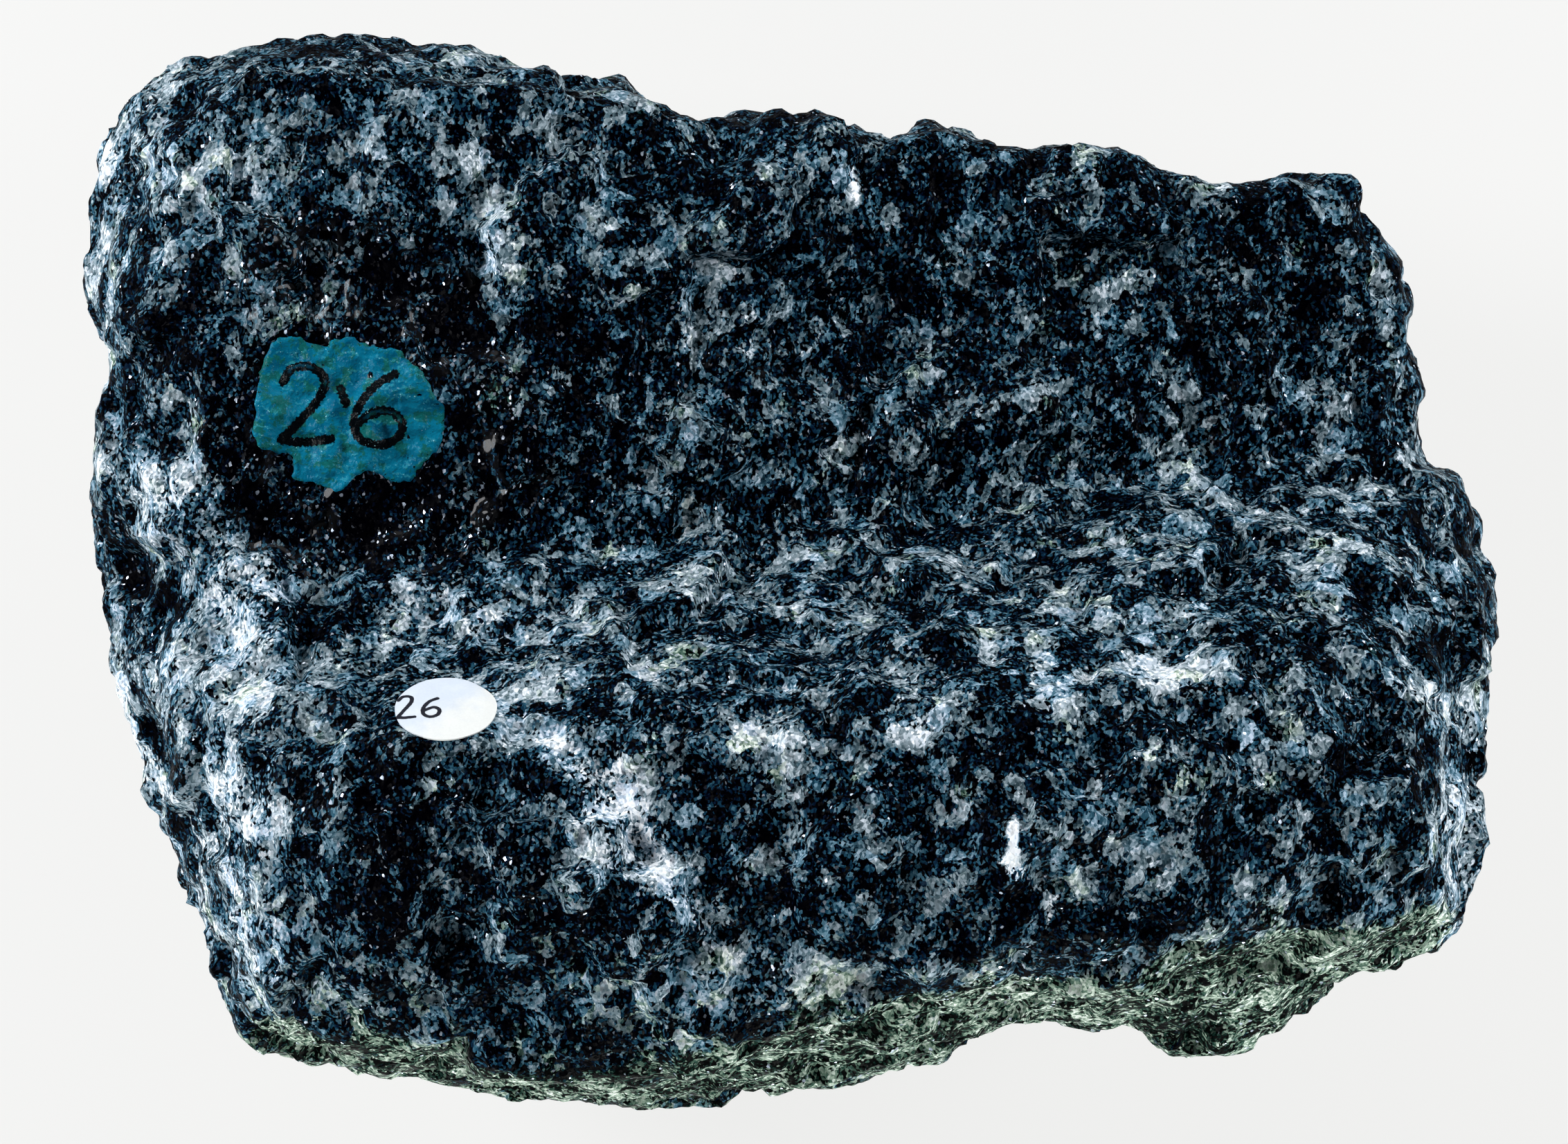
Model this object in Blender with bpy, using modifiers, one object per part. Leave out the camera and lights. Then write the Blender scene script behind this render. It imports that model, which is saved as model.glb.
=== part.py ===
"""Gabbro hand specimen: a broken block of dark, coarse-grained rock that lies on its back.

Its outline is wide and low at the back, and a raised block crosses its front, so that a steep
ledge runs between the two. A small round paper label is glued to the crest of the ledge.

Run it with: blender --background --python part.py
Units are metres and +Z is up. The origin is on the surface that the stone rests on, under the
middle of its outline. Lengths below are in millimetres and are multiplied by MM when used.
"""

import math

import bmesh
import bpy
from mathutils import Euler, Matrix, Vector

MM = 0.001

STONE_HEIGHT = 56.0
BELLY_HEIGHT = 22.0
BELLY_BAND = 3.0
LOWEST_BACK = 9.0
SUNK_BASE = 0.8

LABEL_DIAMETER = 8.0
LABEL_THICKNESS = 0.3
LABEL_GAP = 0.3
LABEL_SIDES = 40
LABEL_CENTRE = (-26.6, -10.4, 47.3)
LABEL_TILT = 54.0
LABEL_SEAT_DIAMETER = 9.4
LABEL_SEAT_DEPTH = 12.0
LABEL_SMOOTH_DEGREES = 40.0

# A block that stands in for the surface below the stone, and the gap under which corners are one.
REST_BLOCK_WIDTH = 200.0
REST_BLOCK_DEPTH = 40.0
SAME_CORNER = 0.01

GRAIN_OF_REMESH = 1.0
SMOOTHING_PASSES = 2
KEPT_TRIANGLES = 7600

# The widest outline, seen from above, clockwise from the rounded corner at the back left.
OUTLINE = [
    (-49.2, 41.2), (-45.4, 41.7), (-43.8, 43.3), (-41.4, 43.5), (-36.9, 42.6), (-30.9, 42.5),
    (-23.6, 42.5), (-16.6, 41.7), (-13.3, 41.0), (-11.4, 38.6), (-8.0, 37.2), (-3.1, 36.7),
    (3.4, 36.8), (7.3, 35.4), (9.3, 35.6), (11.4, 37.2), (14.4, 36.8), (17.4, 34.8),
    (22.0, 35.1), (27.1, 35.0), (31.2, 33.6), (37.1, 31.6), (39.2, 32.5), (43.0, 32.7),
    (46.7, 32.2), (47.9, 28.1), (49.4, 26.5), (50.8, 23.5), (51.1, 19.8), (52.4, 14.4),
    (52.5, 7.8), (54.6, 6.5), (56.7, 3.6), (58.1, -0.7), (58.2, -3.5), (56.9, -9.1),
    (56.7, -12.4), (55.9, -16.6), (56.6, -21.1), (56.8, -26.9), (55.9, -30.0), (53.8, -32.1),
    (49.4, -33.1), (46.5, -33.3), (41.8, -37.2), (36.8, -38.4), (31.9, -39.2), (28.5, -37.0),
    (23.6, -37.5), (18.0, -36.9), (14.2, -39.3), (8.2, -41.4), (1.8, -42.5), (-5.2, -42.9),
    (-12.5, -43.3), (-19.8, -43.5), (-24.9, -43.0), (-32.9, -41.6), (-39.1, -40.2),
    (-44.8, -38.3), (-45.7, -35.2), (-46.5, -32.0), (-48.3, -28.5), (-50.1, -22.3),
    (-51.9, -18.5), (-52.9, -14.2), (-55.0, -9.3), (-56.2, -4.0), (-57.3, 2.5), (-57.3, 7.9),
    (-56.3, 13.8), (-55.7, 16.8), (-56.5, 19.5), (-57.9, 21.8), (-58.3, 24.9), (-57.6, 30.0),
    (-56.1, 34.7), (-54.1, 38.4), (-51.8, 40.1),
]

# Corners of the underside, which narrows from the belly to a small flat spot.
FLAT_SPOT_CORNERS = [
    (-19.0, 4.0, 0.0), (-6.0, 9.0, 0.0), (13.0, 6.0, 0.0), (20.0, -4.0, 0.0),
    (16.0, -16.0, 0.0), (1.0, -19.0, 0.0), (-16.0, -17.0, 0.0), (-23.0, -6.0, 0.0),
]
UNDERSIDE_CORNERS = [
    (-50.0, 30.0, 14.0), (-30.0, 34.0, 9.0), (-6.0, 29.0, 7.0), (20.0, 31.0, 12.0),
    (42.0, 26.0, 14.0), (46.0, 4.0, 8.5), (53.0, -8.0, 13.0), (45.0, -26.0, 10.0),
    (18.0, -33.0, 8.0), (-8.0, -39.0, 11.0), (-36.0, -31.0, 8.0), (-43.0, -8.0, 7.0),
]

# Edge of the low terrace at the back, then four points on its slightly crowned face.
TERRACE_RIM = [
    (-50.5, 33.0, 32.5), (-46.0, 38.6, 32.0), (-41.6, 40.8, 36.0), (-30.0, 40.2, 36.0),
    (-18.0, 39.2, 34.5), (-11.0, 34.8, 34.0), (6.5, 33.8, 31.5), (12.0, 35.0, 30.5),
    (26.0, 32.4, 29.0), (44.2, 29.6, 26.6), (48.2, 21.3, 26.4), (50.4, 10.6, 26.6),
    (-53.4, 22.5, 34.0), (-52.0, 12.9, 35.5), (-50.2, 7.3, 37.0), (-46.6, 1.7, 37.6),
]
TERRACE_FACE = [(-36.0, 29.0, 37.8), (-30.0, 10.0, 38.2), (14.0, 14.0, 32.0), (36.0, 22.0, 29.2)]

# The sloping shoulder that joins the terrace to the left end of the ledge.
SHOULDER_TOP = [
    (-47.0, 3.0, 37.0), (-27.0, 3.6, 37.6), (-13.0, 2.6, 35.4), (-8.0, -5.6, 38.6),
    (-14.0, -7.4, 41.0), (-22.0, -8.6, 43.4), (-31.0, -9.0, 44.2), (-41.0, -8.0, 43.4),
]
SHOULDER_DEPTH = 16.0

# The raised front block: foot of the ledge, its crest, the block's face and its lower edge.
LEDGE_FOOT = [
    (51.6, 10.6, 26.4), (20.5, 7.6, 30.4), (9.3, 3.0, 31.4), (-1.9, -2.2, 33.2),
    (-9.8, -6.7, 37.6), (-41.0, -8.4, 42.0),
]
LEDGE_CREST = [
    (-41.0, -9.6, 44.4), (-33.0, -12.0, 49.0), (-22.2, -13.0, 51.2), (-1.8, -11.6, 51.4),
    (8.9, -11.8, 51.6), (19.6, -9.6, 51.0), (30.3, -7.6, 50.0), (41.0, -8.0, 48.5),
    (50.6, -9.1, 44.5),
]
FRONT_FACE = [
    (-41.4, -15.0, 46.5), (-42.2, -22.5, 47.0), (-40.6, -30.5, 46.5), (-26.0, -24.0, 53.0),
    (-6.0, -24.0, 54.0), (18.0, -20.0, 53.4), (36.0, -17.0, 51.5), (50.0, -18.0, 47.0),
]
FRONT_LOWER_EDGE = [
    (-39.5, -35.4, 43.0), (-24.0, -38.6, 46.0), (-12.6, -38.8, 47.5), (-1.9, -36.2, 50.0),
    (4.0, -33.6, 51.4), (12.0, -30.4, 52.0), (25.0, -27.2, 51.6), (35.0, -27.4, 49.8),
    (44.0, -29.0, 46.4), (52.0, -26.6, 43.4),
]

# Hollows that chips left: centre, half-lengths, and turn about the vertical in degrees.
HOLLOWS = {
    "pocket_in_the_front": ((-27.0, -21.0, 62.8), (8.5, 12.0, 12.0), -12.0),
    "trough_beside_the_ridge": ((-2.0, -28.0, 64.4), (14.0, 8.0, 13.0), -48.0),
    "dish_in_the_terrace": ((14.0, 19.0, 63.2), (40.0, 22.0, 32.8), -6.0),
    "step_at_the_back": ((-2.0, 36.0, 39.0), (9.5, 6.0, 8.5), 15.0),
    "scoop_in_the_left_side": ((-52.6, -14.6, 35.0), (4.4, 5.4, 7.0), 20.0),
    "dent_in_the_left_side": ((-56.6, 0.6, 32.0), (4.0, 5.0, 7.0), 0.0),
    "bite_under_the_front": ((20.0, -46.5, 32.0), (16.0, 10.0, 16.0), 4.0),
    "scar_under_the_right": ((64.0, -24.0, 2.0), (20.0, 26.0, 14.0), 10.0),
    "scar_under_the_back": ((-30.0, 47.0, -2.0), (32.0, 19.0, 17.0), -8.0),
    "scar_under_the_left": ((-63.0, -22.0, 0.0), (22.0, 24.0, 17.0), 12.0),
}

# Roughness of the break: size of the lumps, how far they stand out, and the lump's form.
BREAKS = {
    "broad_lumps": (15.0, 2.0, "BLENDER_ORIGINAL"),
    "blocky_breaks": (6.0, 1.3, "VORONOI_F2_F1"),
    "grain_lumps": (3.2, 0.8, "BLENDER_ORIGINAL"),
}


def clear_scene():
    for old in list(bpy.data.objects):
        bpy.data.objects.remove(old, do_unlink=True)


def new_collection(name):
    collection = bpy.data.collections.new(name)
    bpy.context.scene.collection.children.link(collection)
    return collection


def new_material(name, colour, roughness):
    """A plain surface of one colour, for a sub-part of its own."""
    made = bpy.data.materials.new(name)
    made.use_nodes = True
    shader = made.node_tree.nodes["Principled BSDF"]
    shader.inputs["Base Color"].default_value = (*colour, 1.0)
    shader.inputs["Roughness"].default_value = roughness
    shader.inputs["Metallic"].default_value = 0.0
    return made


def object_from_bmesh(name, built, collection):
    bmesh.ops.recalc_face_normals(built, faces=built.faces)
    mesh = bpy.data.meshes.new(name)
    built.to_mesh(mesh)
    built.free()
    made = bpy.data.objects.new(name, mesh)
    collection.objects.link(made)
    return made


def as_helper(helper):
    """Keeps a cutter or a joined block out of the model itself."""
    helper.hide_render = True
    helper.display_type = "WIRE"
    return helper


def hull_block(name, corners, collection):
    """The simplest block whose corners are the given points: what flat breaks would leave."""
    built = bmesh.new()
    for corner in corners:
        built.verts.new(Vector(corner) * MM)
    made = bmesh.ops.convex_hull(built, input=built.verts)
    # Given points that fall inside the block aren't corners of it.
    inside = [item for item in made["geom_interior"] if isinstance(item, bmesh.types.BMVert)]
    bmesh.ops.delete(built, geom=inside, context="VERTS")
    return object_from_bmesh(name, built, collection)


def belly_corners(keep):
    """The outline at the two heights between which the stone is widest."""
    lower = BELLY_HEIGHT - BELLY_BAND
    upper = BELLY_HEIGHT + BELLY_BAND
    return [(x, y, z) for x, y in OUTLINE if keep(y) for z in (lower, upper)]


def outline_prism(name, collection):
    """A tall prism on the outline, which trims the blocks to the stone's own silhouette."""
    flat = bpy.data.curves.new(name, "CURVE")
    flat.dimensions = "2D"
    flat.fill_mode = "BOTH"
    flat.extrude = STONE_HEIGHT * MM
    spline = flat.splines.new("POLY")
    spline.points.add(len(OUTLINE) - 1)
    for point, (x, y) in zip(spline.points, OUTLINE):
        point.co = (x * MM, y * MM, 0.0, 1.0)
    spline.use_cyclic_u = True
    drawn = bpy.data.objects.new(name, flat)
    collection.objects.link(drawn)
    bpy.context.view_layer.update()
    seen = drawn.evaluated_get(bpy.context.evaluated_depsgraph_get())
    built = bmesh.new()
    built.from_mesh(bpy.data.meshes.new_from_object(seen))
    bpy.data.objects.remove(drawn, do_unlink=True)
    bmesh.ops.remove_doubles(built, verts=built.verts, dist=SAME_CORNER * MM)
    return object_from_bmesh(name, built, collection)


def ellipsoid(name, centre, half_lengths, turn, collection):
    built = bmesh.new()
    bmesh.ops.create_icosphere(built, subdivisions=4, radius=MM)
    placed = Matrix.LocRotScale(Vector(centre) * MM, Euler((0.0, 0.0, math.radians(turn))), half_lengths)
    bmesh.ops.transform(built, matrix=placed, verts=built.verts)
    return object_from_bmesh(name, built, collection)


def add_boolean(target, other, operation):
    cut = target.modifiers.new(other.name, "BOOLEAN")
    cut.operation = operation
    cut.solver = "EXACT"
    cut.object = other


def roughen(target):
    """Rounds the joined blocks, then breaks their flat faces up into lumps of three sizes."""
    remesh = target.modifiers.new("even_grid", "REMESH")
    remesh.mode = "VOXEL"
    remesh.voxel_size = GRAIN_OF_REMESH * MM
    smooth = target.modifiers.new("worn_edges", "SMOOTH")
    smooth.factor = 0.5
    smooth.iterations = SMOOTHING_PASSES
    for name, (size, height, basis) in BREAKS.items():
        lumps = bpy.data.textures.new(name, "CLOUDS")
        lumps.noise_scale = size * MM
        lumps.noise_depth = 2
        lumps.noise_basis = basis
        push = target.modifiers.new(name, "DISPLACE")
        push.texture = lumps
        push.texture_coords = "LOCAL"
        push.mid_level = 0.5
        push.strength = height * MM


def thin_out(target, triangles):
    """Keeps about the given number of triangles, most of them where the surface turns."""
    bpy.context.view_layer.update()
    seen = target.evaluated_get(bpy.context.evaluated_depsgraph_get())
    mesh = seen.to_mesh()
    mesh.calc_loop_triangles()
    before = len(mesh.loop_triangles)
    seen.to_mesh_clear()
    fewer = target.modifiers.new("fewer_triangles", "DECIMATE")
    fewer.ratio = min(1.0, triangles / before)
    fewer.use_collapse_triangulate = True


def label_matrix(offset):
    """The label's place, shifted along its own upright by the given number of millimetres."""
    turn = Matrix.Rotation(math.radians(-LABEL_TILT), 4, "X")
    lift = Matrix.Translation(Vector((0.0, 0.0, offset * MM)))
    return Matrix.Translation(Vector(LABEL_CENTRE) * MM) @ turn @ lift


def disc(name, diameter, depth, matrix, collection):
    built = bmesh.new()
    bmesh.ops.create_cone(
        built,
        cap_ends=True,
        segments=LABEL_SIDES,
        radius1=diameter * MM / 2,
        radius2=diameter * MM / 2,
        depth=depth * MM,
        matrix=matrix,
    )
    return object_from_bmesh(name, built, collection)


def rest_cutter(collection):
    """Everything below the surface that the stone rests on."""
    built = bmesh.new()
    bmesh.ops.create_cube(built, size=MM)
    size = Matrix.Diagonal((REST_BLOCK_WIDTH, REST_BLOCK_WIDTH, REST_BLOCK_DEPTH, 1.0))
    down = Matrix.Translation((0.0, 0.0, -REST_BLOCK_DEPTH * MM / 2))
    bmesh.ops.transform(built, matrix=down @ size, verts=built.verts)
    return object_from_bmesh("rest_plane", built, collection)


def make_stone(parts, cutters):
    underside = FLAT_SPOT_CORNERS + UNDERSIDE_CORNERS
    sunk = [(x, y, z - SUNK_BASE) for x, y, z in FLAT_SPOT_CORNERS]
    terrace = belly_corners(lambda y: True) + underside + sunk + TERRACE_RIM + TERRACE_FACE
    stone = hull_block("gabbro_stone", terrace, parts)
    sunk_shoulder = [(x, y, z - SHOULDER_DEPTH) for x, y, z in SHOULDER_TOP]
    shoulder = as_helper(hull_block("shoulder_block", SHOULDER_TOP + sunk_shoulder, cutters))
    add_boolean(stone, shoulder, "UNION")
    front = belly_corners(lambda y: y < LOWEST_BACK)
    front += LEDGE_FOOT + LEDGE_CREST + FRONT_FACE + FRONT_LOWER_EDGE
    raised = as_helper(hull_block("front_block", front, cutters))
    add_boolean(stone, raised, "UNION")
    for name, (centre, half_lengths, turn) in HOLLOWS.items():
        hollow = as_helper(ellipsoid(name, centre, half_lengths, turn, cutters))
        add_boolean(stone, hollow, "DIFFERENCE")
    add_boolean(stone, as_helper(outline_prism("silhouette", cutters)), "INTERSECT")
    roughen(stone)
    thin_out(stone, KEPT_TRIANGLES)
    seat_place = label_matrix(LABEL_SEAT_DEPTH / 2 - LABEL_THICKNESS / 2 - LABEL_GAP)
    seat = as_helper(disc("label_seat", LABEL_SEAT_DIAMETER, LABEL_SEAT_DEPTH, seat_place, cutters))
    add_boolean(stone, seat, "DIFFERENCE")
    add_boolean(stone, as_helper(rest_cutter(cutters)), "DIFFERENCE")
    stone.data.materials.append(new_material("dark_gabbro", (0.045, 0.055, 0.07), 0.5))
    return stone


def make_label(parts):
    label = disc("number_label", LABEL_DIAMETER, LABEL_THICKNESS, label_matrix(0.0), parts)
    label.data.materials.append(new_material("white_paper", (0.86, 0.87, 0.88), 0.7))
    label.data.shade_smooth()
    label.data.set_sharp_from_angle(angle=math.radians(LABEL_SMOOTH_DEGREES))
    return label


def main():
    clear_scene()
    parts = new_collection("gabbro_hand_specimen")
    cutters = new_collection("cutters")
    make_stone(parts, cutters)
    make_label(parts)


main()
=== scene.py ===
# %% [markdown]
# # The looks of a gabbro hand specimen
#
# A hand specimen is a piece of rock, knocked to a size that fits the hand, that a collection keeps
# to show one kind of rock. This one is gabbro: black pyroxene and blue-grey feldspar that grew as
# interlocking crystals of one to four millimetres. It carries a painted number and a paper dot.
#
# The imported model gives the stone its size, its place and its broad faces. This script makes what
# the eye sees on them: the broken surface, the crystals, the paint and the paper.

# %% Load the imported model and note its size
import math

import bmesh
import bpy
import numpy as np
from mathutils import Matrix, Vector
from mathutils.bvhtree import BVHTree


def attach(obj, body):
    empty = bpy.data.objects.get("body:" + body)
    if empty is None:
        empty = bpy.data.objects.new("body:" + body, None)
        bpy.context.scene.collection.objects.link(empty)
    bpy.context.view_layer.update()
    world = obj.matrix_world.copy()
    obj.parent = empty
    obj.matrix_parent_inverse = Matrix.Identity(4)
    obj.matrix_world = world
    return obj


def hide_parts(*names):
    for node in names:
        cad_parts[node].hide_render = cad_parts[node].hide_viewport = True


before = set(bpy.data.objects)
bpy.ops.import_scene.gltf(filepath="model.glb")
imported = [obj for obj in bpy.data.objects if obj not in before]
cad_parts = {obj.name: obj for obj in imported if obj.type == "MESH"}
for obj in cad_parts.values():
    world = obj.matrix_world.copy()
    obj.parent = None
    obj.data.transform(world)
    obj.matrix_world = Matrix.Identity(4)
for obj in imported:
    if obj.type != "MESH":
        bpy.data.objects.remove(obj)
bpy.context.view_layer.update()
MM = 0.001
TO_MM = 1.0 / MM
scene = bpy.context.scene

# %% [markdown]
# ## Camera
#
# The stone lies on its back and the camera looks straight down on it, from about half a metre. The
# width of the picture is set in real millimetres at the height where the stone is widest, and the
# lens follows from it.

# %% Camera
PICTURE_WIDTH_MM = 129.1
WIDEST_HEIGHT_MM = 22.0
CAMERA_HEIGHT_MM = 542.0
SENSOR_MM = 36.0
CAMERA_OFF_CENTRE_MM = (-0.11, 0.23)


def make_camera():
    lens = SENSOR_MM * (CAMERA_HEIGHT_MM - WIDEST_HEIGHT_MM) / PICTURE_WIDTH_MM
    data = bpy.data.cameras.new("camera")
    data.sensor_width = SENSOR_MM
    data.lens = lens
    made = bpy.data.objects.new("camera", data)
    made.location = Vector((*CAMERA_OFF_CENTRE_MM, CAMERA_HEIGHT_MM)) * MM
    scene.collection.objects.link(made)
    scene.camera = made
    return made


camera = make_camera()
print("lens in mm:", round(camera.data.lens, 1))

# %% [markdown]
# ## Node trees written as sums
#
# A material is a graph of nodes, but most of it is plain arithmetic on masks. One small class wraps
# an output socket, so that `1 - mask * 0.5` adds the Math nodes that it needs. A second class holds
# the tree and adds every other kind of node through one method.

# %% Sockets that can be added and multiplied
class Value:
    """A number that changes over the surface: the output of a node in a tree."""

    def __init__(self, tree, socket):
        self.tree = tree
        self.socket = socket

    def maths(self, operation, *numbers):
        node = self.tree.add("ShaderNodeMath", {"operation": operation}, dict(enumerate(numbers)))
        return Value(self.tree, node.outputs[0])

    def __add__(self, other):
        return self.maths("ADD", self, other)

    def __radd__(self, other):
        return self.maths("ADD", other, self)

    def __sub__(self, other):
        return self.maths("SUBTRACT", self, other)

    def __rsub__(self, other):
        return self.maths("SUBTRACT", other, self)

    def __mul__(self, other):
        return self.maths("MULTIPLY", self, other)

    def __rmul__(self, other):
        return self.maths("MULTIPLY", other, self)

    def larger_of(self, other):
        return self.maths("MAXIMUM", self, other)

    def rises(self, start, end):
        """0 below start, 1 above end, with a soft step between. Start above end turns it round."""
        settings = {"interpolation_type": "SMOOTHSTEP"}
        sockets = {"Value": self, "From Min": start, "From Max": end}
        if start > end:
            sockets = {"Value": self, "From Min": end, "From Max": start, "To Min": 1.0, "To Max": 0.0}
        node = self.tree.add("ShaderNodeMapRange", settings, sockets)
        return Value(self.tree, node.outputs["Result"])


class Tree:
    """A node tree. add() is the one way in which a node other than a sum gets into it."""

    def __init__(self, owner):
        owner.use_nodes = True
        self.nodes = owner.node_tree.nodes
        self.links = owner.node_tree.links
        self.nodes.clear()

    def add(self, kind, settings=None, sockets=None):
        node = self.nodes.new(kind)
        for name, setting in (settings or {}).items():
            if name == "stops":
                self.set_stops(node.color_ramp, setting)
            else:
                setattr(node, name, setting)
        for name, given in (sockets or {}).items():
            # A Value stands for its socket
            given = getattr(given, "socket", given)
            if isinstance(given, bpy.types.NodeSocket):
                self.links.new(given, node.inputs[name])
            else:
                node.inputs[name].default_value = given
        return node

    @staticmethod
    def set_stops(ramp, stops):
        while len(ramp.elements) < len(stops):
            ramp.elements.new(1.0)
        for element, (place, colour) in zip(ramp.elements, stops):
            element.position = place
            element.color = (*colour, 1.0)

    def value(self, kind, settings, sockets, output):
        return Value(self, self.add(kind, settings, sockets).outputs[output])

    def blend(self, factor, first, second):
        """Colour `first` where the factor is 0 and `second` where it is 1."""
        first = (*first, 1.0) if isinstance(first, tuple) else first
        second = (*second, 1.0) if isinstance(second, tuple) else second
        sockets = {0: factor, 6: first, 7: second}
        return self.add("ShaderNodeMix", {"data_type": "RGBA"}, sockets).outputs[2]

    def ramp(self, factor, stops):
        """The colour that lies at the factor, 0 to 1, on a ramp."""
        return self.add("ShaderNodeValToRGB", {"stops": stops}, {"Fac": factor}).outputs["Color"]

    def vectors(self, operation, *given):
        node = self.add("ShaderNodeVectorMath", {"operation": operation}, dict(enumerate(given)))
        return node.outputs[0]

    def place_in_mm(self):
        """Where a point lies on its own object, in millimetres."""
        place = self.add("ShaderNodeTexCoord").outputs["Object"]
        return self.vectors("MULTIPLY", place, (TO_MM,) * 3)

    def noise(self, place, size, detail=2.0):
        """Soft lumps of about the given size in millimetres, 0 to 1."""
        sockets = {"Vector": place, "Scale": 1.0 / size, "Detail": detail}
        return self.value("ShaderNodeTexNoise", {}, sockets, 0)

    def painted(self, name):
        """A weight that was painted onto the mesh's points."""
        return self.value("ShaderNodeAttribute", {"attribute_name": name}, {}, "Fac")

    def bumped(self, strength, depth, height, **more):
        """A normal that follows a height, where height 1 stands out by a depth in millimetres."""
        sockets = {"Strength": strength, "Distance": depth * MM, "Height": height, **more}
        return self.add("ShaderNodeBump", {}, sockets).outputs[0]

    def surface(self, sockets):
        shader = self.add("ShaderNodeBsdfPrincipled", {}, sockets)
        self.add("ShaderNodeOutputMaterial", {}, {"Surface": shader.outputs[0]})
        return shader


print("node helpers ready")

# %% [markdown]
# ## Light and floor
#
# The specimen is lit as on a copy stand: a pale light table below, pale walls all round at a low
# angle, and a dark opening above, where the camera looks in. So faces that look at the camera show
# their blacks, and steep faces turn pale. The floor glows, and the stone casts no hard shadow on it.
# Four soft boxes, one on each side, give the light a direction.

# %% Light and floor
FLOOR_RADIUS_M = 12.0
FLOOR_SIDES = 64
FLOOR_GREY = (0.1, 0.1, 0.1)
FLOOR_GLOW = 0.885
FLOOR_GLOW_COLOUR = (0.9, 0.9, 0.89)
WALL_LIGHT = (0.94, 0.97, 1.0)
OPENING_LIGHT = (0.02, 0.022, 0.026)
# The walls give way to the opening between these heights, 0 at the horizon and 1 overhead
OPENING_EDGE = (0.35, 0.8)
TENT_STRENGTH = 0.8
SOFT_BOXES = {
    # place in metres, diameter in metres, watts, colour
    "left": ((-0.50, 0.16, 0.30), 0.22, 4.2, (0.97, 0.985, 1.0)),
    "right": ((0.50, 0.10, 0.18), 0.20, 2.2, (0.97, 0.985, 1.0)),
    "back": ((0.10, 0.52, 0.24), 0.30, 0.8, (1.0, 0.98, 0.95)),
    "front": ((0.06, -0.56, 0.07), 0.26, 3.6, (0.97, 1.0, 0.95)),
}


def make_world():
    world = bpy.data.worlds.new("light_tent")
    scene.world = world
    tree = Tree(world)
    direction = tree.add("ShaderNodeTexCoord").outputs["Generated"]
    height = tree.value("ShaderNodeSeparateXYZ", {}, {0: direction}, "Z")
    colour = tree.blend(height.rises(*OPENING_EDGE), WALL_LIGHT, OPENING_LIGHT)
    background = tree.add("ShaderNodeBackground", {}, {"Color": colour, "Strength": TENT_STRENGTH})
    tree.add("ShaderNodeOutputWorld", {}, {"Surface": background.outputs[0]})


def make_floor():
    built = bmesh.new()
    bmesh.ops.create_circle(built, cap_ends=True, segments=FLOOR_SIDES, radius=FLOOR_RADIUS_M)
    mesh = bpy.data.meshes.new("floor")
    built.to_mesh(mesh)
    built.free()
    material = bpy.data.materials.new("light_table")
    Tree(material).surface({
        "Base Color": (*FLOOR_GREY, 1.0),
        "Roughness": 1.0,
        "Specular IOR Level": 0.0,
        "Emission Color": (*FLOOR_GLOW_COLOUR, 1.0),
        "Emission Strength": FLOOR_GLOW,
    })
    mesh.materials.append(material)
    made = bpy.data.objects.new("floor", mesh)
    scene.collection.objects.link(made)
    return made


def make_soft_box(name, place, size, power, colour):
    data = bpy.data.lights.new(name, "AREA")
    data.shape = "DISK"
    data.size = size
    data.energy = power
    data.color = colour
    made = bpy.data.objects.new(name, data)
    made.location = place
    made.rotation_euler = (-Vector(place)).to_track_quat("-Z", "Y").to_euler()
    made.visible_camera = False
    scene.collection.objects.link(made)


scene.view_settings.view_transform = "Standard"
make_world()
make_floor()
for box_name, (place, size, power, colour) in SOFT_BOXES.items():
    make_soft_box(box_name, place, size, power, colour)
print("soft boxes:", len(SOFT_BOXES))

# %% [markdown]
# ## The broken surface
#
# Gabbro doesn't break along a smooth plane. The break runs through some crystals and round others,
# so the face is a mosaic of small flat facets, each with its own tilt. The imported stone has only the
# broad shape. A displacement texture could roughen it, but plain noise gives soft dunes. Here the
# mesh is remade with even, small faces, and every point is pushed in or out by number arrays.

# %% Helpers for points and meshes
def triples(items, name):
    flat = np.empty(len(items) * 3, np.float32)
    items.foreach_get(name, flat)
    return flat.reshape(-1, 3).astype(float)


def mesh_points(mesh):
    return triples(mesh.vertices, "co")


def mesh_normals(mesh):
    return triples(mesh.vertex_normals, "vector")


def set_points(mesh, points):
    mesh.vertices.foreach_set("co", points.astype(np.float32).ravel())
    mesh.update()


def note_weight(mesh, name, weight):
    """Store one number per point, which a material can read by its name."""
    layer = mesh.attributes.new(name, "FLOAT", "POINT")
    layer.data.foreach_set("value", weight.astype(np.float32))


def blended(mesh, columns, rounds):
    """Each point's numbers averaged with those of its neighbours, a number of times over."""
    ends = np.empty(len(mesh.edges) * 2, np.int32)
    mesh.edges.foreach_get("vertices", ends)
    near, far = np.concatenate([ends.reshape(-1, 2), ends.reshape(-1, 2)[:, ::-1]]).T
    count = np.bincount(near, minlength=len(columns))
    for _ in range(rounds):
        sums = [np.bincount(near, weights=column[far], minlength=len(column)) for column in columns.T]
        columns = (columns + np.stack(sums, axis=1) / count[:, None]) / 2.0
    return columns


def soft_step(value, start, end):
    t = np.clip((value - start) / (end - start), 0.0, 1.0)
    return t * t * (3.0 - 2.0 * t)


print("mesh helpers ready")

# %% [markdown]
# ## Repeatable chance
#
# A crystal's tilt has to be random, yet the same each time that the script runs, and the same for
# every point of that crystal. So no random generator is used: the crystal's own whole numbers are
# stirred until nothing of their order is left.

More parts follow.
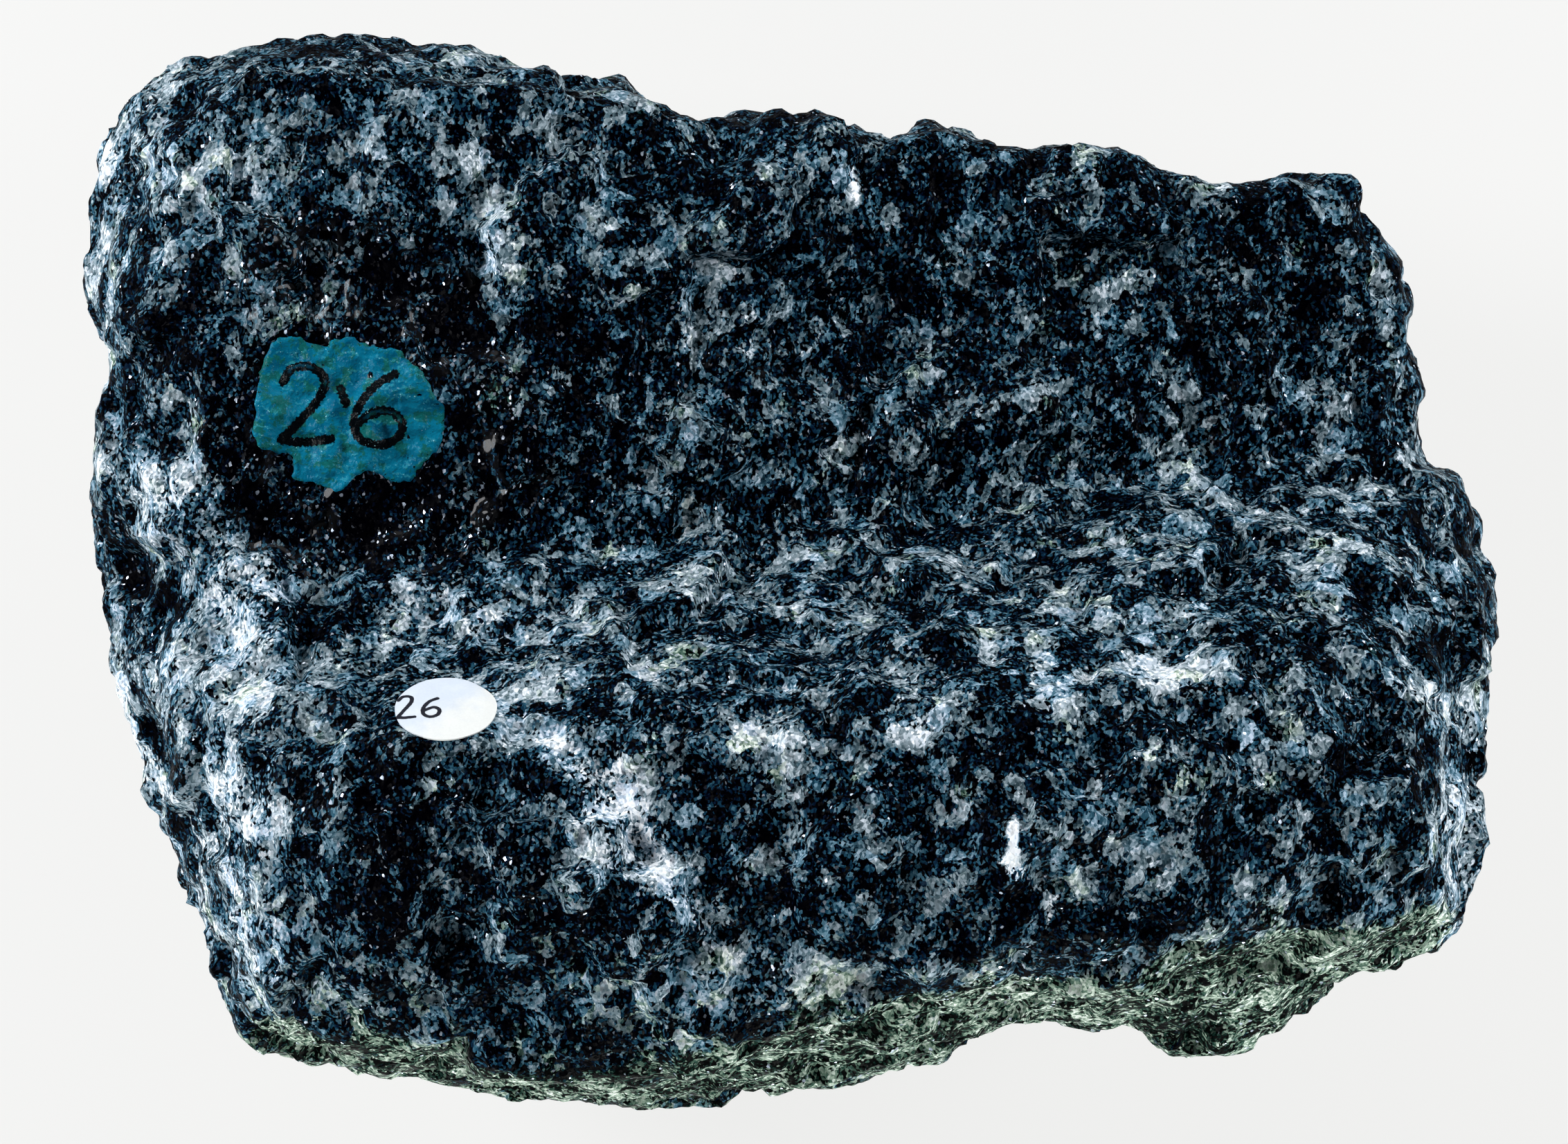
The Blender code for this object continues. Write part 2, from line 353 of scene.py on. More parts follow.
# %% Random numbers, crystals and lumps
def chance(cells, seed):
    """Three repeatable random numbers, 0 to 1, for each row of whole numbers."""
    keys = cells.astype(np.int64).astype(np.uint64)
    primes = np.array([0x9E3779B97F4A7C15, 0xC2B2AE3D27D4EB4F, 0x165667B19E3779F9], np.uint64)
    start = np.array([seed * 0xD6E8FEB86659FD93 % 2**64], np.uint64)
    mixed = (keys * primes).sum(axis=-1) + start
    drawn = []
    for _ in range(3):
        mixed = (mixed ^ (mixed >> np.uint64(29))) * np.uint64(0xBF58476D1CE4E5B9)
        mixed = mixed ^ (mixed >> np.uint64(32))
        drawn.append((mixed >> np.uint64(11)).astype(float) / 2.0**53)
    return np.stack(drawn, axis=-1)


def crystal_of(points, size, seed):
    """For each point: the seed of the crystal that holds it, and that crystal's own whole numbers."""
    home = np.floor(points / size)
    nearest = np.full(len(points), np.inf)
    centre = np.zeros_like(points)
    owner = np.zeros_like(points)
    for step in np.ndindex(3, 3, 3):
        cell = home + step - (1.0, 1.0, 1.0)
        candidate = (cell + chance(cell, seed)) * size
        gap = ((points - candidate) ** 2).sum(axis=1)
        closer = gap < nearest
        nearest[closer] = gap[closer]
        centre[closer] = candidate[closer]
        owner[closer] = cell[closer]
    return centre, owner


def crystal_facets(points, size, step, slope, seed):
    """How far a break that follows flat crystal faces stands out at each point."""
    centre, owner = crystal_of(points, size, seed)
    drawn = chance(owner, seed + 100)
    tilt = (chance(owner, seed + 200) - 0.5) * 2.0 * slope
    return (drawn[:, 0] - 0.5) * 2.0 * step + ((points - centre) * tilt).sum(axis=1)


def soft_lumps(points, size, seed):
    """Smooth noise from -1 to 1: random numbers on a grid, blended between its corners."""
    home = np.floor(points / size)
    t = points / size - home
    t = t * t * (3.0 - 2.0 * t)
    total = np.zeros(len(points))
    for corner in np.ndindex(2, 2, 2):
        share = np.ones(len(points))
        for axis, side in enumerate(corner):
            share *= t[:, axis] if side else 1.0 - t[:, axis]
        total += share * chance(home + corner, seed)[:, 0]
    return total * 2.0 - 1.0


def soft_offsets(points, size, seed):
    """Three smooth noises, one along each axis, that bend straight edges."""
    return np.stack([soft_lumps(points, size, seed + axis) for axis in range(3)], axis=1)


print("chance of cell 1, 2, 3:", chance(np.array([[1, 2, 3]]), 7).round(3))

# %% [markdown]
# ## A skin of small even faces
#
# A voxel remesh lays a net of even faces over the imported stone, about 0.6 mm wide: fine enough for
# facets of one and a half millimetres, and few enough for one piece. A few rounds of smoothing take
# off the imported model's own coarse facets. The broad normals are noted now, while the skin is still
# smooth, because later steps ask which way a whole face of the stone looks, and not one crystal.

# %% Remake the stone's mesh
SAME_CORNER_MM = 0.002
FACE_SIZE_MM = 0.595
SMOOTHING_SHARE = 0.5
SMOOTHING_ROUNDS = 8
BROAD_ROUNDS = 10


def baked(thing):
    """The same object with its modifiers' result as its mesh."""
    bpy.context.view_layer.update()
    seen = thing.evaluated_get(bpy.context.evaluated_depsgraph_get())
    mesh = bpy.data.meshes.new_from_object(seen)
    thing.modifiers.clear()
    thing.data = mesh
    return thing


def new_piece(name, mesh):
    mesh.name = name
    made = bpy.data.objects.new(name, mesh)
    scene.collection.objects.link(made)
    return made


def thickened(sheet, thickness):
    """A sheet with a body below it, of a thickness in millimetres."""
    body = sheet.modifiers.new("body", "SOLIDIFY")
    body.thickness = thickness * MM
    body.offset = -1.0
    return baked(sheet)


def fine_copy(node, name):
    """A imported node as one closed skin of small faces, in a new object."""
    built = bmesh.new()
    built.from_mesh(node.data)
    bmesh.ops.remove_doubles(built, verts=built.verts, dist=SAME_CORNER_MM * MM)
    mesh = bpy.data.meshes.new(name)
    built.to_mesh(mesh)
    built.free()
    made = new_piece(name, mesh)
    remesh = made.modifiers.new("even_faces", "REMESH")
    remesh.mode = "VOXEL"
    remesh.voxel_size = FACE_SIZE_MM * MM
    smooth = made.modifiers.new("worn", "SMOOTH")
    smooth.factor = SMOOTHING_SHARE
    smooth.iterations = SMOOTHING_ROUNDS
    return baked(made)


stone = fine_copy(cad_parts["gabbro_stone"], "gabbro_specimen")
broad = blended(stone.data, mesh_normals(stone.data), BROAD_ROUNDS)
broad /= np.linalg.norm(broad, axis=1, keepdims=True)
print("stone faces:", len(stone.data.polygons))

# %% [markdown]
# ## The paper label's place
#
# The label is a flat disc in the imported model. Its middle and the way it faces are read from that
# disc, because the rock under it has to stay flat enough to carry it.

# %% Where the label is
def flat_face_of(node):
    """The middle, in millimetres, and the upward normal of a thin packed disc."""
    points = mesh_points(node.data) * TO_MM
    widest = max(node.data.polygons, key=lambda face: face.area)
    normal = np.array(widest.normal)
    if normal[2] < 0.0:
        normal = -normal
    return (points.min(axis=0) + points.max(axis=0)) / 2.0, normal


label_centre, label_normal = flat_face_of(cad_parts["number_label"])
label_across = np.array([1.0, 0.0, 0.0])
label_up = np.cross(label_normal, label_across)
print("label middle in mm:", label_centre.round(2), "faces", label_normal.round(3))

# %% [markdown]
# ## Crystal facets
#
# Crystals are the cells nearest to scattered seeds, and each cell is pushed as a tilted plane, which
# gives flat facets with steps between them. Four sizes lie over each other, from bundles of crystals
# down to chips. A smooth noise bends the place at which the cells are read, so no step runs dead
# straight, and soft lumps of two sizes lie over it all.

# %% Facets and lumps
BREAKS = [
    # crystal size, step between neighbours, both in mm, slope of a facet, and the seed
    (13.0, 0.45, 0.1, 10),
    (6.5, 0.26, 0.12, 11),
    (3.0, 0.17, 0.18, 12),
    (1.5, 0.12, 0.24, 13),
]
LUMPS = [
    # size and height in mm, and the seed
    (9.0, 0.30, 21),
    (2.2, 0.12, 22),
]
GRAIN_STRETCH = np.array([1.0, 0.85, 1.4])
GRAIN_WOBBLE_MM = 0.5
GRAIN_WOBBLE_SIZE_MM = 1.6


def facet_push(points):
    """How far out or in the broken surface lies at each point, in millimetres."""
    grain = points * GRAIN_STRETCH
    grain = grain + GRAIN_WOBBLE_MM * soft_offsets(grain, GRAIN_WOBBLE_SIZE_MM, 31)
    push = np.zeros(len(points))
    for size, step, slope, seed in BREAKS:
        push += crystal_facets(grain, size, step, slope, seed)
    for size, height, seed in LUMPS:
        push += soft_lumps(points, size, seed) * height
    return push


print("crystal sizes in mm:", [size for size, *_ in BREAKS])

# %% [markdown]
# ## Knocks and the label's bed
#
# The steps are blended once with their neighbours, as a fresh edge is never quite sharp. A short list
# of knocks then shapes the bulges and notches that show in the outline. The rest spot stays as
# packed, and the rock under the label is pressed to the label's own plane.

# %% Break the surface up
KNOCKS = [
    # Chips that show in the outline: from, to, half width, and how far out, all in mm
    ((54.5, 7.6), (57.0, 5.0), 2.6, 1.1), ((51.5, 12.0), (52.6, 10.2), 2.6, -0.9),
    ((18.0, -37.5), (27.0, -37.5), 3.4, -0.9), ((31.0, -38.5), (35.5, -38.5), 3.0, 0.5),
    ((43.0, -34.6), (45.4, -34.0), 2.6, -1.0), ((-52.0, 0.6), (-51.0, -2.0), 1.8, -1.0),
    ((-18.0, -16.0), (-10.0, -27.0), 1.8, 0.7), ((-27.0, -17.0), (-25.0, -27.0), 3.0, -0.8),
    ((17.5, -19.8), (17.5, -23.6), 0.9, 0.4), ((-50.0, 7.0), (-43.0, -2.0), 2.2, 0.5),
    ((-29.0, -43.0), (-23.5, -43.0), 3.0, -0.6), ((-14.0, -43.5), (-8.0, -43.5), 3.0, 0.4),
]
REST_FADE_MM = (0.3, 3.0)
LABEL_REACH_MM = (4.4, 6.2)
LABEL_BED_MM = -0.16
LABEL_DEPTH_MM = 2.2


def painted_weight(points, strokes):
    """The sum of the strokes at each point, seen from above, each with a soft edge."""
    total = np.zeros(len(points))
    for start, end, half_width, strength in strokes:
        start = np.array(start)
        line = np.array(end) - start
        along = np.clip(((points[:, :2] - start) @ line) / (line @ line), 0.0, 1.0)
        gap = np.linalg.norm(points[:, :2] - start - along[:, None] * line, axis=1)
        total += strength * (1.0 - soft_step(gap / half_width, 0.4, 1.6))
    return total


def press_label_bed(points):
    """Bring the rock under the label to the label's plane."""
    above = (points - label_centre) @ label_normal
    sideways = points - label_centre - above[:, None] * label_normal
    weight = 1.0 - soft_step(np.linalg.norm(sideways, axis=1), *LABEL_REACH_MM)
    weight *= 1.0 - soft_step(np.abs(above), LABEL_DEPTH_MM * 0.6, LABEL_DEPTH_MM)
    return points + ((LABEL_BED_MM - above) * weight)[:, None] * label_normal


def break_surface(target):
    points = mesh_points(target.data) * TO_MM
    normals = mesh_normals(target.data)
    push = blended(target.data, facet_push(points)[:, None], 1)[:, 0]
    push += painted_weight(points, KNOCKS)
    push *= soft_step(points[:, 2], *REST_FADE_MM)
    points = press_label_bed(points + normals * push[:, None])
    points[:, 2] = np.maximum(points[:, 2], 0.0)
    set_points(target.data, points * MM)
    return push


pushed = break_surface(stone)
print("pushed out and in by mm:", round(pushed.max(), 2), round(pushed.min(), 2))

# %% [markdown]
# ## Painted weights
#
# Some marks sit in one place: the bruised, pale ridge on the left, made paler still with painted light
# where the steep side catches the lamps, the white crystals along the crest, the varnish that was
# brushed round the painted number. A list of strokes says where they are, as a restorer would dab
# them on. The same strokes paint light onto the lit zone above the ledge and the lit sliver on the
# right. The material later tears their edges with noise, so no stroke shows as a stroke.

# %% Strokes, in millimetres seen from above
TONE_AND_LIGHT_STROKES = [
    # from, to, half width, and how much lighter it is there, or darker where below 0: the rock's own
    # tone, and painted light on the lit zone above the ledge, the lit left bevel and the lit right sliver
    ((-33.0, 34.0), (-22.0, 32.0), 9.0, 0.3), ((-50.0, 35.0), (-50.0, 30.0), 5.0, 0.7),
    ((-50.0, 26.0), (-48.0, 17.0), 4.5, -0.1), ((-22.0, 16.0), (-20.0, 8.0), 6.0, -0.35),
    ((-36.0, 25.0), (-30.0, 23.0), 5.0, -0.35), ((-42.0, 5.4), (-28.0, 4.4), 3.6, -0.6),
    ((-30.0, -1.5), (-20.0, -4.6), 4.4, 0.8), ((-12.0, 5.0), (-6.0, 2.0), 5.0, 0.2),
    ((-54.4, 18.2), (-50.0, 7.2), 2.6, 0.8), ((-50.0, 7.2), (-42.8, -1.4), 3.2, 1.5),
    ((-42.8, -1.4), (-42.2, -18.0), 3.0, 1.6), ((-42.2, -18.0), (-41.0, -35.0), 3.0, 1.2),
    ((-52.0, -2.0), (-46.0, -30.0), 4.0, 1.1), ((-54.9, 11.6), (-54.9, 8.5), 0.8, 1.5),
    ((-54.5, -9.1), (-52.9, -14.0), 0.9, 1.4), ((-52.9, -14.0), (-49.8, -17.6), 0.9, 1.5),
    ((-24.2, -3.6), (-22.0, -6.2), 1.4, 1.2), ((-31.0, -1.6), (-27.0, -1.4), 1.2, 0.8),
    ((-8.0, -4.0), (46.0, 4.0), 8.0, 0.4), ((-28.0, -10.0), (30.0, -9.0), 2.2, 0.4),
    ((-3.2, -12.0), (2.6, -12.4), 1.1, 1.3), ((8.4, -12.0), (10.6, -12.3), 1.0, 1.3),
    ((19.8, -7.4), (24.0, -9.0), 1.0, 0.9), ((27.0, -7.2), (33.0, -8.2), 1.0, 0.9),
    ((-55.0, 36.0), (-48.0, 40.0), 3.0, 0.7), ((-56.0, 22.0), (-55.6, 34.0), 2.0, 0.7),
    ((50.0, -9.0), (51.4, -9.2), 1.1, 1.2), ((-18.0, -13.0), (-14.0, -18.0), 1.4, 1.8),
    ((-14.5, -16.0), (-9.6, -22.6), 1.1, 2.0), ((-12.5, -21.0), (-4.0, -29.0), 1.4, 1.6),
    ((-15.5, -19.0), (-13.0, -25.5), 1.0, 1.2), ((-13.2, -14.0), (-10.8, -19.5), 0.7, 1.8),
    ((-27.0, -19.5), (-27.0, -27.0), 1.4, 0.7), ((17.7, -19.6), (17.7, -23.8), 0.28, 11.0),
    ((20.7, -24.6), (20.8, -27.0), 0.25, 7.0), ((-56.0, 35.4), (-55.2, 33.0), 0.8, 1.7),
    ((5.5, 32.6), (5.5, 29.6), 0.3, 6.0), ((53.4, -12.0), (54.2, -28.0), 2.4, 1.6),
    ((-30.6, -16.0), (-30.6, -27.0), 3.0, -1.1), ((-53.2, 0.6), (-50.2, -1.4), 1.4, -2.6),
    ((-51.6, -12.4), (-49.0, -16.4), 0.9, -2.4), ((-8.0, 23.2), (-8.2, 18.4), 0.5, 2.0),
    ((-2.6, 22.0), (-3.0, 17.4), 0.5, 2.4), ((-20.0, -32.0), (24.0, -33.0), 3.0, 0.4),
    ((-24.7, -24.0), (-24.7, -31.0), 1.2, -1.2), ((-19.6, -20.0), (-18.0, -30.0), 1.8, -0.7),
    ((-6.0, 24.0), (40.0, 20.0), 12.0, -0.35), ((2.0, 6.5), (24.0, 5.5), 2.6, -0.6),
    ((-17.0, -15.0), (-10.0, -24.0), 3.6, 0.6), ((-38.0, -41.5), (-14.0, -42.5), 1.2, 0.8),
]
VARNISH_STROKES = [
    # the same, with how thickly the varnish lies
    ((-38.0, 24.0), (-30.0, 22.0), 5.0, 1.0), ((-41.0, 6.2), (-29.0, 5.0), 4.6, 1.0),
    ((-43.0, 12.0), (-38.0, 14.0), 4.0, 0.9), ((-29.0, 20.0), (-25.0, 9.0), 4.6, 0.9),
    ((-34.0, 14.0), (-34.0, 10.0), 7.0, 1.0), ((-24.0, 14.0), (-21.0, 6.0), 3.6, 0.6),
]
MILKY_STROKES = [
    # single milky crystals
    ((-4.6, 24.8), (-4.8, 24.0), 1.3, 1.0), ((26.6, 23.6), (26.6, 19.2), 1.2, 1.0),
    ((3.8, 32.8), (4.0, 30.0), 1.6, 1.0), ((-14.0, 31.4), (-14.0, 29.0), 1.5, 1.0),
    ((-24.0, 28.6), (-23.0, 25.2), 1.3, 1.0), ((-41.4, 22.4), (-41.0, 21.8), 1.2, 1.0),
    ((45.8, 15.4), (46.6, 14.8), 1.6, 1.0), ((19.6, -8.0), (21.0, -9.4), 1.6, 1.0),
    ((27.6, -7.4), (29.0, -7.8), 1.4, 1.0), ((33.0, -6.8), (34.4, -7.2), 1.2, 1.0),
    ((9.6, -12.2), (10.4, -12.6), 1.2, 1.0), ((46.8, 0.4), (47.6, 0.0), 1.4, 1.0),
]

print("strokes:", len(TONE_AND_LIGHT_STROKES) + len(VARNISH_STROKES) + len(MILKY_STROKES))

# %% [markdown]
# ## Weights on the mesh
#
# Each point of the mesh notes how near it is to a stroke. The strokes are seen from above, so they
# fade out down the side faces. Two more weights come from the way in which the stone's broad faces
# look: steep faces break in layers, and a green tint of painted light, the glow of the light table
# below, covers the front's steep face and the underside. Its edge is blended over several
# millimetres, and single grains take the painted green a little further up.

# %% Note the weights
STROKES_FADE_MM = (17.0, 23.0)
STROKE_WOBBLE_MM = 0.6
STROKE_WOBBLE_SIZE_MM = 1.3
# How far up a broad face looks, 1 for a level one, where it stops being steep
STEEP_UNTIL = (0.45, 0.8)
# The faces with painted green light: how far they look to the front, up and down, and between which
# heights
GREEN_LIGHT_FRONT = (0.5, 0.72)
GREEN_LIGHT_UP = (0.55, 0.7)
GREEN_LIGHT_DOWN = (0.1, 0.5)
GREEN_LIGHT_HEIGHT_MM = (16.0, 34.0)
GREEN_LIGHT_UNDERSIDE = 0.75
# How far towards the front single grains begin to take the painted green light, and how many they are at
# most
CREEP_MM = (22.0, 38.0)
CREEP_SHARE = 0.24
GREEN_LIGHT_ROUNDS = 16


def painted_green_light_weight(points, facing):
    """Where the painted green light lies, 0 to 1: the light table's glow on faces turned to the front and
    down.
    """
    front = soft_step(-facing[:, 1], *GREEN_LIGHT_FRONT) * (1.0 - soft_step(facing[:, 2], *GREEN_LIGHT_UP))
    front *= 0.5 + 0.5 * soft_step(points[:, 2], *GREEN_LIGHT_HEIGHT_MM)
    creeping = CREEP_SHARE * soft_step(-points[:, 1], *CREEP_MM)
    underside = GREEN_LIGHT_UNDERSIDE * soft_step(-facing[:, 2], *GREEN_LIGHT_DOWN)
    return np.maximum(np.maximum(front, creeping), underside)


def note_weights(target, facing):
    points = mesh_points(target.data) * TO_MM
    upper = soft_step(points[:, 2], *STROKES_FADE_MM)
    dabbed = points + STROKE_WOBBLE_MM * soft_offsets(points, STROKE_WOBBLE_SIZE_MM, 41)
    layers = {"lightness": TONE_AND_LIGHT_STROKES, "varnish": VARNISH_STROKES, "milky": MILKY_STROKES}
    for name, strokes in layers.items():
        note_weight(target.data, name, painted_weight(dabbed, strokes) * upper)
    note_weight(target.data, "steep", 1.0 - soft_step(facing[:, 2], *STEEP_UNTIL))
    # The green is painted light: the light table's glow on faces turned to the front and down
    moss = painted_green_light_weight(points, facing)[:, None]
    note_weight(target.data, "moss", blended(target.data, moss, GREEN_LIGHT_ROUNDS)[:, 0])


note_weights(stone, broad)
print("weights:", [layer.name for layer in stone.data.attributes if layer.domain == "POINT"])

# %% [markdown]
# ## Palettes
#
# Pyroxene is almost black, feldspar runs from navy through blue-grey to a milky taupe, and the
# front and the underside turn olive green under painted light, the glow of the light table below. Each
# palette is a ramp from the darkest grains to the brightest, written as a screen shows it and turned
# into shares of light.

# %% Palettes and how far along the ramp each colour lies
TONE_STEPS = (0.0, 0.03, 0.07, 0.125, 0.2, 0.28, 0.39, 0.52, 0.66, 0.84, 1.0)
BLUE_ROCK = ((0, 0, 2), (1, 5, 20), (3, 17, 36), (8, 34, 53), (20, 55, 73), (39, 77, 95), (70, 105, 122),
             (105, 135, 153), (147, 171, 190), (198, 212, 230), (240, 246, 255))
GREY_ROCK = ((0, 0, 0), (4, 7, 11), (12, 17, 23), (22, 32, 40), (37, 53, 62), (57, 76, 84), (85, 103, 111),
             (118, 133, 141), (153, 168, 177), (205, 214, 224), (244, 248, 252))
GREEN_LIT_ROCK = ((0, 1, 1), (3, 9, 8), (6, 22, 20), (15, 38, 33), (31, 58, 50), (55, 81, 71), (86, 108, 95),
              (119, 139, 125), (156, 172, 158), (206, 218, 208), (238, 246, 240))


def light_of(shown):
    """The share of light that a surface sends back, for a colour as a screen shows it."""
    shares = []
    for part in shown:
        part = part / 255.0
        shares.append(part / 12.92 if part < 0.04045 else ((part + 0.055) / 1.055) ** 2.4)
    return tuple(shares)


def palette_stops(palette):
    return [(step, light_of(shown)) for step, shown in zip(TONE_STEPS, palette)]


print("palette stops:", len(TONE_STEPS))

# %% [markdown]
# ## Grains, chips and flakes
#
# Seen close, the rock is a mosaic: black and navy grains of one to three millimetres, ragged milky
# feldspar between them, chips of under one millimetre within both, and flakes at the limit of what
# the eye sees. Three layers of cell texture give grains, chips and flakes, and one shared noise bends
# the place at which the first two are read, so their edges come out torn. Fine needles lie over them.

# %% Layers of the rock's pattern
GRAIN_MM = 1.5
CHIP_MM = 0.5
FLAKE_MM = 0.23
SPLINTER_MM = 0.2
CLOUD_MM = 5.0
ROCK_STRETCH = (1.0, 0.85, 1.5)
TEAR_SCALE = 1.8
GRAIN_TEAR_MM = 0.6
CHIP_TEAR_MM = 0.3
UPRIGHT = (1.0, 0.55, 1.0)
LAYERED = (0.45, 0.45, 1.0)


def cells(tree, place, size):
    """Angular cells: three random numbers for each, and its random colour brought to a mean of 0."""
    cell = tree.add("ShaderNodeTexVoronoi", {"feature": "F1"}, {"Vector": place, "Scale": 1.0 / size})
    parts = tree.add("ShaderNodeSeparateXYZ", {}, {0: cell.outputs["Color"]})
    draws = [Value(tree, parts.outputs[axis]) for axis in "XYZ"]
    return draws, tree.vectors("SUBTRACT", cell.outputs["Color"], (0.5, 0.5, 0.5))


def moved(tree, place, offset, reach):
    return tree.vectors("MULTIPLY_ADD", offset, (reach,) * 3, place)


def rock_cells(tree, place):
    torn = tree.add("ShaderNodeTexNoise", {}, {"Vector": place, "Scale": TEAR_SCALE, "Detail": 1.5})
    torn = tree.vectors("SUBTRACT", torn.outputs["Color"], (0.5, 0.5, 0.5))
    grain = cells(tree, moved(tree, place, torn, GRAIN_TEAR_MM), GRAIN_MM)
    chip = cells(tree, moved(tree, place, torn, CHIP_TEAR_MM), CHIP_MM)
    return grain, chip, cells(tree, place, FLAKE_MM)


def splinters(tree, here):
    """Fine needles, around 0: upright on open faces, and lying in layers on steep ones."""
    upright = tree.noise(tree.vectors("MULTIPLY", here, UPRIGHT), SPLINTER_MM, 1.0)
    layered = tree.noise(tree.vectors("MULTIPLY", here, LAYERED), SPLINTER_MM, 1.0)
    return upright + (layered - upright) * tree.painted("steep") - 0.5


print("grain, chip and flake in mm:", GRAIN_MM, CHIP_MM, FLAKE_MM)

# %% [markdown]
# ## Gabbro
#
# The random numbers of grain, chip and flake add up to a score, which says what mineral a spot is, and
# so how bright. That brightness picks a colour from a palette, so a painted weight can move a whole
# region up or down, both for the rock's own tone and for painted light. The cells' random colours
# also tilt the normal: each grain catches light alone.
# region up or down. The cells' random colours also tilt the normal: each grain catches light alone.
# Black grains under the dark opening show no even gloss, but a few flakes are cleavage faces that lie
# just right and flash, so those are made to mirror as a metal does.

# %% Gabbro material
# Brightness of a grain by its score, 0 to 1: black pyroxene, navy, and a step up to feldspar
GRAIN_BRIGHTNESS = ((0.0, 0.0), (0.3, 0.03), (0.42, 0.08), (0.5, 0.13), (0.6, 0.2), (0.64, 0.45),
                    (0.78, 0.58), (1.0, 0.86))
# How strongly flakes and splinters show in each
GRAIN_TEXTURE = ((0.0, 0.55), (0.42, 1.15), (0.6, 1.25), (0.66, 0.6), (1.0, 0.65))
BLACK_LEVEL = 0.14
# What a cleavage face mirrors back
CLEAVAGE = (165, 175, 190)
GRAIN_TILT = 0.4
TILT = 0.6


def by_score(tree, score, steps):
    return Value(tree, tree.ramp(score, [(place, (level,) * 3) for place, level in steps]))


def gabbro():
    material = bpy.data.materials.new("gabbro")
    tree = Tree(material)
    here = tree.place_in_mm()
    place = tree.vectors("MULTIPLY", here, ROCK_STRETCH)
    (grain, grain_tilt), (chip, chip_tilt), (flake, flake_tilt) = rock_cells(tree, place)
    splinter = splinters(tree, here)
    clouds = tree.noise(place, CLOUD_MM, 1.0) - 0.5

    # The painted weights, torn at their edges by clouds, grains, chips and flakes
    # The tone weight carries the rock's own tone and painted light: lighter where faces were lit
    lightness = tree.painted("lightness") * (0.2 + 1.6 * clouds + 0.5 * chip[2] + 0.7 * flake[0])
    varnish = (tree.painted("varnish") + clouds * 1.5 + (chip[2] - 0.5) * 0.3).rises(0.35, 0.6)
    # Painted green light from the light table on the front and the underside, torn at its edge
    moss = tree.painted("moss") + clouds * 1.2 + (grain[1] - 0.5) * 0.5 + (chip[2] - 0.5) * 0.3
    moss = moss.rises(0.28, 0.62)

    # The score and the brightness
    score = grain[0] * 0.5 + chip[0] * 0.34 + flake[0] * 0.16 + clouds * 0.9 + lightness * 0.13
    score = score + tree.painted("milky") * 0.2 - varnish * 0.12
    level = by_score(tree, score, GRAIN_BRIGHTNESS) - BLACK_LEVEL
    texture = splinter * 0.2 + (flake[1] - 0.5) * 0.6 + (chip[1] - 0.5) * (0.22 + 0.2 * moss)
    level = level + texture * by_score(tree, score, GRAIN_TEXTURE) * (1.0 + 0.5 * moss) + moss * 0.06
    level = level + lightness * 0.07 - varnish * 0.05

    # The colour: blue rock, grey feldspar, painted green light on the front and underside, and the few
    # flakes that flash
    greyness = score.rises(0.54, 0.66) * (grain[1] + clouds).rises(0.2, 0.45) * 0.95
    glint = (flake[2] + varnish * 0.025).rises(0.965, 0.985)
    glint = glint * (chip[2] + clouds + varnish * 0.15).rises(0.55, 0.75)
    colour = tree.ramp(level, palette_stops(BLUE_ROCK))
    colour = tree.blend(greyness, colour, tree.ramp(level, palette_stops(GREY_ROCK)))
    colour = tree.blend(moss, colour, tree.ramp(level, palette_stops(GREEN_LIT_ROCK)))
    colour = tree.blend(glint, colour, light_of(CLEAVAGE))

    tilt = moved(tree, tree.vectors("ADD", chip_tilt, flake_tilt), grain_tilt, GRAIN_TILT)
    normal = tree.add("ShaderNodeNewGeometry").outputs["Normal"]
    normal = tree.vectors("NORMALIZE", moved(tree, normal, tilt, TILT))
    tree.surface({
        "Base Color": colour,
        "Metallic": glint,
        "Roughness": 0.25 + 0.25 * chip[1],
        "Specular IOR Level": 0.01,
        "Coat Weight": varnish * 0.12,
        "Coat Roughness": 0.08,
        "Normal": tree.bumped(0.5, 0.05, splinter, Normal=normal),
    })
    return material


def finish_piece(piece, material, sharp_degrees):
    piece.data.materials.clear()
    piece.data.materials.append(material)
    piece.data.shade_smooth()
    piece.data.set_sharp_from_angle(angle=math.radians(sharp_degrees))
    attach(piece, "root")


finish_piece(stone, gabbro(), sharp_degrees=38.0)
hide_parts("gabbro_stone")
print("gabbro nodes:", len(stone.data.materials[0].node_tree.nodes))

# %% [markdown]
# ## Outlines and strokes
#
# The patch and both numbers are drawn as a few points each, rounded into a smooth line. What
# the mesh and the paint need to know is only how far a spot is from such a line.

# %% Lines drawn by hand
def rounded(corners, closed, pieces=6):
    """A smooth line through the corners (Catmull-Rom)."""
    corners = np.array(corners, float)
    if closed:
        ends = np.concatenate([corners[-1:], corners, corners[:2]])
    else:
        ends = np.concatenate([corners[:1], corners, corners[-1:]])
    t = (np.arange(pieces) / pieces)[:, None]
    line = []
    for before, start, end, after in zip(ends, ends[1:], ends[2:], ends[3:]):
        bend = 2 * before - 5 * start + 4 * end - after
        twist = 3 * (start - end) + after - before
        line.append(start + 0.5 * t * (end - before + t * (bend + t * twist)))
    if not closed:
        line.append(corners[-1:])
    return np.concatenate(line)


